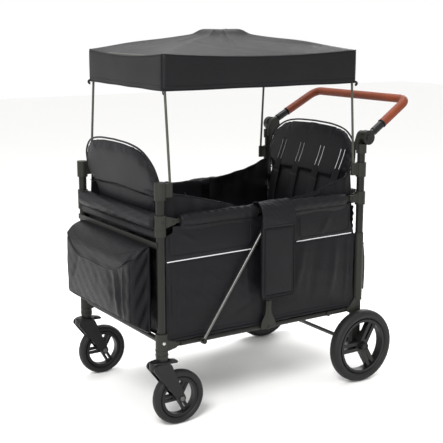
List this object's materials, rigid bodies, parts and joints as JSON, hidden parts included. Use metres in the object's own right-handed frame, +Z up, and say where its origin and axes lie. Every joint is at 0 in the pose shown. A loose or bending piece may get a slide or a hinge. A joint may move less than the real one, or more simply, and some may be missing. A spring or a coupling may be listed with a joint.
{
  "type": "folding push wagon",
  "caption": "Folding push wagon with a fabric tub, facing bench seats, a flat canopy on slim poles, swivel front wheels and a tilting push bar.",
  "frame": {"origin": "on the floor under the middle of the bounding box", "axes": "+Z up, -X towards the front casters and storage bag, +X towards the push handle, -Y is the left side"},
  "size_m": [1.276, 0.728, 1.381],
  "materials": {
    "fabric_black": "matte woven",
    "fabric_pad": "matte woven, padded",
    "frame_tube": "satin powder coat",
    "frame_plastic": "matte moulded",
    "black_plastic": "matte moulded",
    "tyre_rubber": "matte",
    "grip_leather": "satin, fine grain",
    "pole_metal": "satin",
    "steel_pin": "satin",
    "webbing": "woven webbing"
  },
  "bodies": {
    "front_frame": {"front_post_left": "frame_tube", "front_post_right": "frame_tube", "front_cross_tubes": "frame_tube", "front_rail_brackets": "frame_plastic", "front_canopy_sockets": "frame_plastic", "caster_housings": "black_plastic", "front_end_panel": "fabric_black", "front_rail_pad": "fabric_pad", "front_seat_back": "fabric_pad", "storage_bag": "fabric_black", "floor_mat": "fabric_black", "side_panel_left": "fabric_black", "side_panel_right": "fabric_black"},
    "bag_flap": {"storage_bag_flap": "fabric_black"},
    "rear_frame": {"rear_post_left": "frame_tube", "rear_post_right": "frame_tube", "rear_cross_tubes": "frame_tube", "rear_rail_brackets": "frame_plastic", "rear_leg_sleeves": "black_plastic", "rear_canopy_sockets": "frame_plastic", "rear_axle": "steel_pin", "rear_end_panel": "fabric_black", "rear_seat_back": "fabric_pad", "harness_straps": "webbing", "rear_pouch": "fabric_black", "handle_hubs": "frame_plastic"},
    "top_rails_front_half": {"top_rails_front": "frame_tube", "top_rail_pads_front": "fabric_pad"},
    "top_rails_rear_half": {"top_rails_rear": "frame_tube", "top_rail_pads_rear": "fabric_pad"},
    "bottom_rails_front_half": {"bottom_rails_front": "frame_tube"},
    "bottom_rails_rear_half": {"bottom_rails_rear": "frame_tube"},
    "centre": {"centre_posts": "frame_tube", "side_pocket": "fabric_black"},
    "stays_front": {"diagonal_stays_front": "frame_tube"},
    "stays_rear": {"diagonal_stays_rear": "frame_tube"},
    "front_bench": {"front_seat": "fabric_pad"},
    "rear_bench": {"rear_seat": "fabric_pad"},
    "brake": {"brake_pedal": "black_plastic"},
    "handle": {"handle_tube": "frame_tube", "handle_grip": "grip_leather"},
    "canopy_front": {"canopy_poles_front": "pole_metal", "canopy_roof": "fabric_black"},
    "canopy_rear": {"canopy_poles_rear": "pole_metal"},
    "caster_left": {"caster_fork_left": "black_plastic", "front_axle_left": "steel_pin"},
    "lock_lever_left": {"swivel_lock_lever_left": "black_plastic"},
    "front_wheel_left": {"front_rim_left": "black_plastic", "front_tyre_left": "tyre_rubber"},
    "rear_wheel_left": {"rear_rim_left": "black_plastic", "rear_tyre_left": "tyre_rubber"},
    "handle_release_left": {"handle_button_left": "black_plastic"},
    "caster_right": {"caster_fork_right": "black_plastic", "front_axle_right": "steel_pin"},
    "lock_lever_right": {"swivel_lock_lever_right": "black_plastic"},
    "front_wheel_right": {"front_rim_right": "black_plastic", "front_tyre_right": "tyre_rubber"},
    "rear_wheel_right": {"rear_rim_right": "black_plastic", "rear_tyre_right": "tyre_rubber"},
    "handle_release_right": {"handle_button_right": "black_plastic"}
  },
  "joints": [
    {"name": "fold", "type": "hinge", "parent": "front_frame", "child": "top_rails_front_half", "pos_m": [-0.469, 0, 0.74], "axis": [0, -1, 0], "range_deg": [0, 68], "deforming": ["side_panel_left", "side_panel_right", "floor_mat", "canopy_roof"]},
    {"name": "top_rail_knee", "type": "hinge", "parent": "top_rails_front_half", "child": "top_rails_rear_half", "pos_m": [-0.071, 0, 0.74], "axis": [0, -1, 0], "range_deg": [-136.5, 0]},
    {"name": "rear_frame_pivot", "type": "hinge", "parent": "top_rails_rear_half", "child": "rear_frame", "pos_m": [0.327, 0, 0.74], "axis": [0, -1, 0], "range_deg": [0, 68.5]},
    {"name": "centre_pivot", "type": "hinge", "parent": "top_rails_front_half", "child": "centre", "pos_m": [-0.071, 0, 0.74], "axis": [0, -1, 0], "range_deg": [-68.5, 0]},
    {"name": "bottom_rail_pivot", "type": "hinge", "parent": "front_frame", "child": "bottom_rails_front_half", "pos_m": [-0.469, 0, 0.297], "axis": [0, -1, 0], "range_deg": [0, 68.5]},
    {"name": "bottom_rail_knee", "type": "hinge", "parent": "bottom_rails_front_half", "child": "bottom_rails_rear_half", "pos_m": [-0.071, 0, 0.297], "axis": [0, -1, 0], "range_deg": [-136.5, 0]},
    {"name": "front_stay_pivot", "type": "hinge", "parent": "bottom_rails_front_half", "child": "stays_front", "pos_m": [-0.361, 0, 0.297], "axis": [0, -1, 0], "range_deg": [-46.03, 0]},
    {"name": "rear_stay_pivot", "type": "hinge", "parent": "bottom_rails_rear_half", "child": "stays_rear", "pos_m": [0.219, 0, 0.297], "axis": [0, -1, 0], "range_deg": [0, 46.03]},
    {"name": "front_bench_fold", "type": "hinge", "parent": "front_frame", "child": "front_bench", "pos_m": [-0.42816, 0, 0.51], "axis": [0, -1, 0], "range_deg": [0, 86.5]},
    {"name": "rear_bench_fold", "type": "hinge", "parent": "rear_frame", "child": "rear_bench", "pos_m": [0.28616, 0, 0.51], "axis": [0, 1, 0], "range_deg": [0, 86.5]},
    {"name": "bag_flap_hinge", "type": "hinge", "parent": "front_frame", "child": "bag_flap", "pos_m": [-0.5359, 0, 0.6723], "axis": [0, 1, 0], "range_deg": [0, 70]},
    {"name": "handle_tilt", "type": "hinge", "parent": "rear_frame", "child": "handle", "pos_m": [0.392, 0, 0.974], "axis": [0, -1, 0], "range_deg": [-80, 60]},
    {"name": "caster_swivel_left", "type": "hinge", "parent": "front_frame", "child": "caster_left", "pos_m": [-0.516, -0.308, 0.234], "axis": [0, 0, 1], "continuous": true},
    {"name": "swivel_lock_left", "type": "hinge", "parent": "caster_left", "child": "lock_lever_left", "pos_m": [-0.486, -0.308, 0.238], "axis": [0, -1, 0], "range_deg": [0, 30]},
    {"name": "front_wheel_spin_left", "type": "hinge", "parent": "caster_left", "child": "front_wheel_left", "pos_m": [-0.452, -0.308, 0.1], "axis": [0, 1, 0], "continuous": true},
    {"name": "rear_wheel_spin_left", "type": "hinge", "parent": "rear_frame", "child": "rear_wheel_left", "pos_m": [0.374, -0.336, 0.146], "axis": [0, 1, 0], "continuous": true},
    {"name": "handle_button_left_press", "type": "slide", "parent": "handle", "child": "handle_release_left", "axis": [0, 1, 0], "range_m": [0, 0.003], "stiffness_N_per_m": 800},
    {"name": "caster_swivel_right", "type": "hinge", "parent": "front_frame", "child": "caster_right", "pos_m": [-0.516, 0.308, 0.234], "axis": [0, 0, 1], "continuous": true},
    {"name": "swivel_lock_right", "type": "hinge", "parent": "caster_right", "child": "lock_lever_right", "pos_m": [-0.486, 0.308, 0.238], "axis": [0, -1, 0], "range_deg": [0, 30]},
    {"name": "front_wheel_spin_right", "type": "hinge", "parent": "caster_right", "child": "front_wheel_right", "pos_m": [-0.452, 0.308, 0.1], "axis": [0, 1, 0], "continuous": true},
    {"name": "rear_wheel_spin_right", "type": "hinge", "parent": "rear_frame", "child": "rear_wheel_right", "pos_m": [0.374, 0.336, 0.146], "axis": [0, 1, 0], "continuous": true},
    {"name": "handle_button_right_press", "type": "slide", "parent": "handle", "child": "handle_release_right", "axis": [0, -1, 0], "range_m": [0, 0.003], "stiffness_N_per_m": 800},
    {"name": "brake_press", "type": "hinge", "parent": "rear_frame", "child": "brake", "pos_m": [0.374, 0, 0.146], "axis": [0, 1, 0], "range_deg": [0, 22]},
    {"name": "canopy_lift", "type": "slide", "parent": "front_frame", "child": "canopy_front", "axis": [0, 0, 1], "range_m": [0, 0.06]},
    {"name": "canopy_lift_rear", "type": "slide", "parent": "rear_frame", "child": "canopy_rear", "axis": [0, 0, 1], "range_m": [0, 0.061]}
  ],
  "couplings": [
    {"joint": "top_rail_knee", "follows": "fold", "ratio": -2},
    {"joint": "rear_frame_pivot", "follows": "fold", "ratio": 1},
    {"joint": "centre_pivot", "follows": "fold", "ratio": -1},
    {"joint": "bottom_rail_pivot", "follows": "fold", "ratio": 1},
    {"joint": "bottom_rail_knee", "follows": "fold", "ratio": -2},
    {"joint": "front_stay_pivot", "follows": "fold", "ratio": -0.6696},
    {"joint": "rear_stay_pivot", "follows": "fold", "ratio": 0.6696},
    {"joint": "front_bench_fold", "follows": "fold", "ratio": 1.2647},
    {"joint": "rear_bench_fold", "follows": "fold", "ratio": 1.2647},
    {"joint": "canopy_lift_rear", "follows": "canopy_lift", "ratio": 1}
  ]
}
